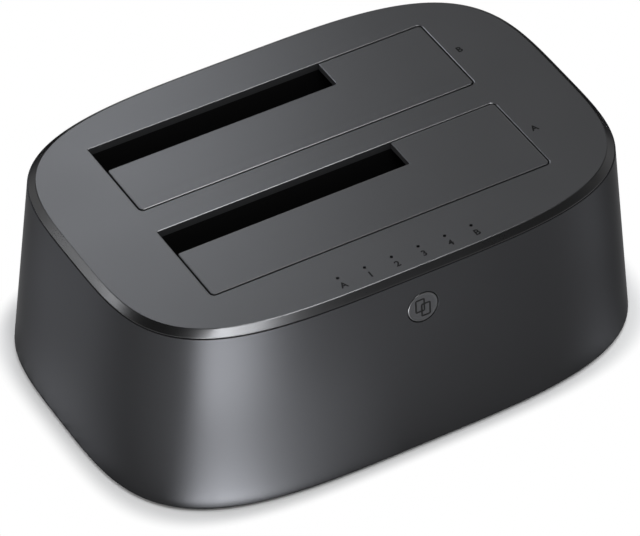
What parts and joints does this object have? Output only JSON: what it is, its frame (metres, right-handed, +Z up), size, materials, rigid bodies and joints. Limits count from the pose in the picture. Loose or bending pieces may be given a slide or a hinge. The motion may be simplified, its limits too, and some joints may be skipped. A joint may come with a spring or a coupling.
{
  "type": "hard drive docking station",
  "caption": "Flared plastic dock with two top-loading drive bays under sprung L-shaped flaps, a front copy button, status lights and rear ports.",
  "frame": {"origin": "middle of the footprint, on the table that the feet stand on", "axes": "+X to the right along the bays, +Y to the rear where the ports are, +Z up out of the bays"},
  "size_m": [0.1618, 0.112, 0.0585],
  "materials": {
    "case_plastic": "satin dark grey moulding, bright polished edge round the top",
    "inner_plastic": "black moulding",
    "foot_rubber": "soft black rubber",
    "screw_steel": "dark zinc plate",
    "hinge_steel": "drawn wire",
    "board_laminate": "green solder mask",
    "socket_plastic": "black glass-filled moulding",
    "contact_gilt": "gold flash",
    "chip_black": "moulded package",
    "ferrite": "pressed ferrite",
    "can_aluminium": "drawn can",
    "plated_steel": "nickel plate",
    "led_white": "white package",
    "guide_clear": "clear moulding",
    "button_plastic": "satin grey moulding, a little lighter than the case",
    "ribbon_white": "flat cable film"
  },
  "bodies": {
    "case": {"body_shell": "case_plastic", "top_cover": "case_plastic", "base_plate": "inner_plastic", "front_drive_well": "inner_plastic", "rear_drive_well": "inner_plastic", "foot_front_left": "foot_rubber", "foot_front_right": "foot_rubber", "foot_rear_left": "foot_rubber", "foot_rear_right": "foot_rubber", "base_screws": "screw_steel", "cover_screws": "screw_steel", "well_screws": "screw_steel", "main_board_screws": "screw_steel", "button_board_screws": "screw_steel", "front_hinge_pin": "hinge_steel", "rear_hinge_pin": "hinge_steel", "front_flap_spring": "hinge_steel", "rear_flap_spring": "hinge_steel", "main_board": "board_laminate", "button_board": "board_laminate", "front_drive_socket": "socket_plastic", "rear_drive_socket": "socket_plastic", "data_port_core": "socket_plastic", "power_jack_body": "socket_plastic", "switch_housing": "socket_plastic", "button_switch": "socket_plastic", "front_socket_contacts": "contact_gilt", "rear_socket_contacts": "contact_gilt", "data_port_contacts": "contact_gilt", "bridge_chip": "chip_black", "support_chips": "chip_black", "power_inductors": "ferrite", "capacitors": "can_aluminium", "data_port_shell": "plated_steel", "power_jack_pin": "plated_steel", "clock_crystal": "plated_steel", "indicator_leds": "led_white", "light_guide": "guide_clear", "ribbon_cable": "ribbon_white", "ribbon_sockets": "ribbon_white"},
    "front_flap": {"front_flap": "case_plastic"},
    "rear_flap": {"rear_flap": "case_plastic"},
    "copy_button": {"copy_button": "button_plastic", "button_plunger": "led_white"},
    "power_rocker": {"power_rocker": "inner_plastic"}
  },
  "joints": [
    {"name": "front_flap_hinge", "type": "hinge", "parent": "case", "child": "front_flap", "pos_m": [0, -0.034, 0.0543], "axis": [-1, 0, 0], "range_deg": [0, 90], "stiffness_Nm_per_rad": 0.004, "springref_deg": -34.38, "deforming": ["front_flap_spring"]},
    {"name": "rear_flap_hinge", "type": "hinge", "parent": "case", "child": "rear_flap", "pos_m": [0, 0.0041, 0.0543], "axis": [-1, 0, 0], "range_deg": [0, 90], "stiffness_Nm_per_rad": 0.004, "springref_deg": -34.38, "deforming": ["rear_flap_spring"]},
    {"name": "copy_button_press", "type": "slide", "parent": "case", "child": "copy_button", "axis": [0, 0.9956, -0.0941], "range_m": [0, 0.0006], "stiffness_N_per_m": 300, "springref_m": -0.003},
    {"name": "power_rocker_tilt", "type": "hinge", "parent": "case", "child": "power_rocker", "pos_m": [-0.02, 0.05283, 0.01411], "axis": [0, 0.0941, -0.9956], "range_deg": [0, 18]}
  ]
}
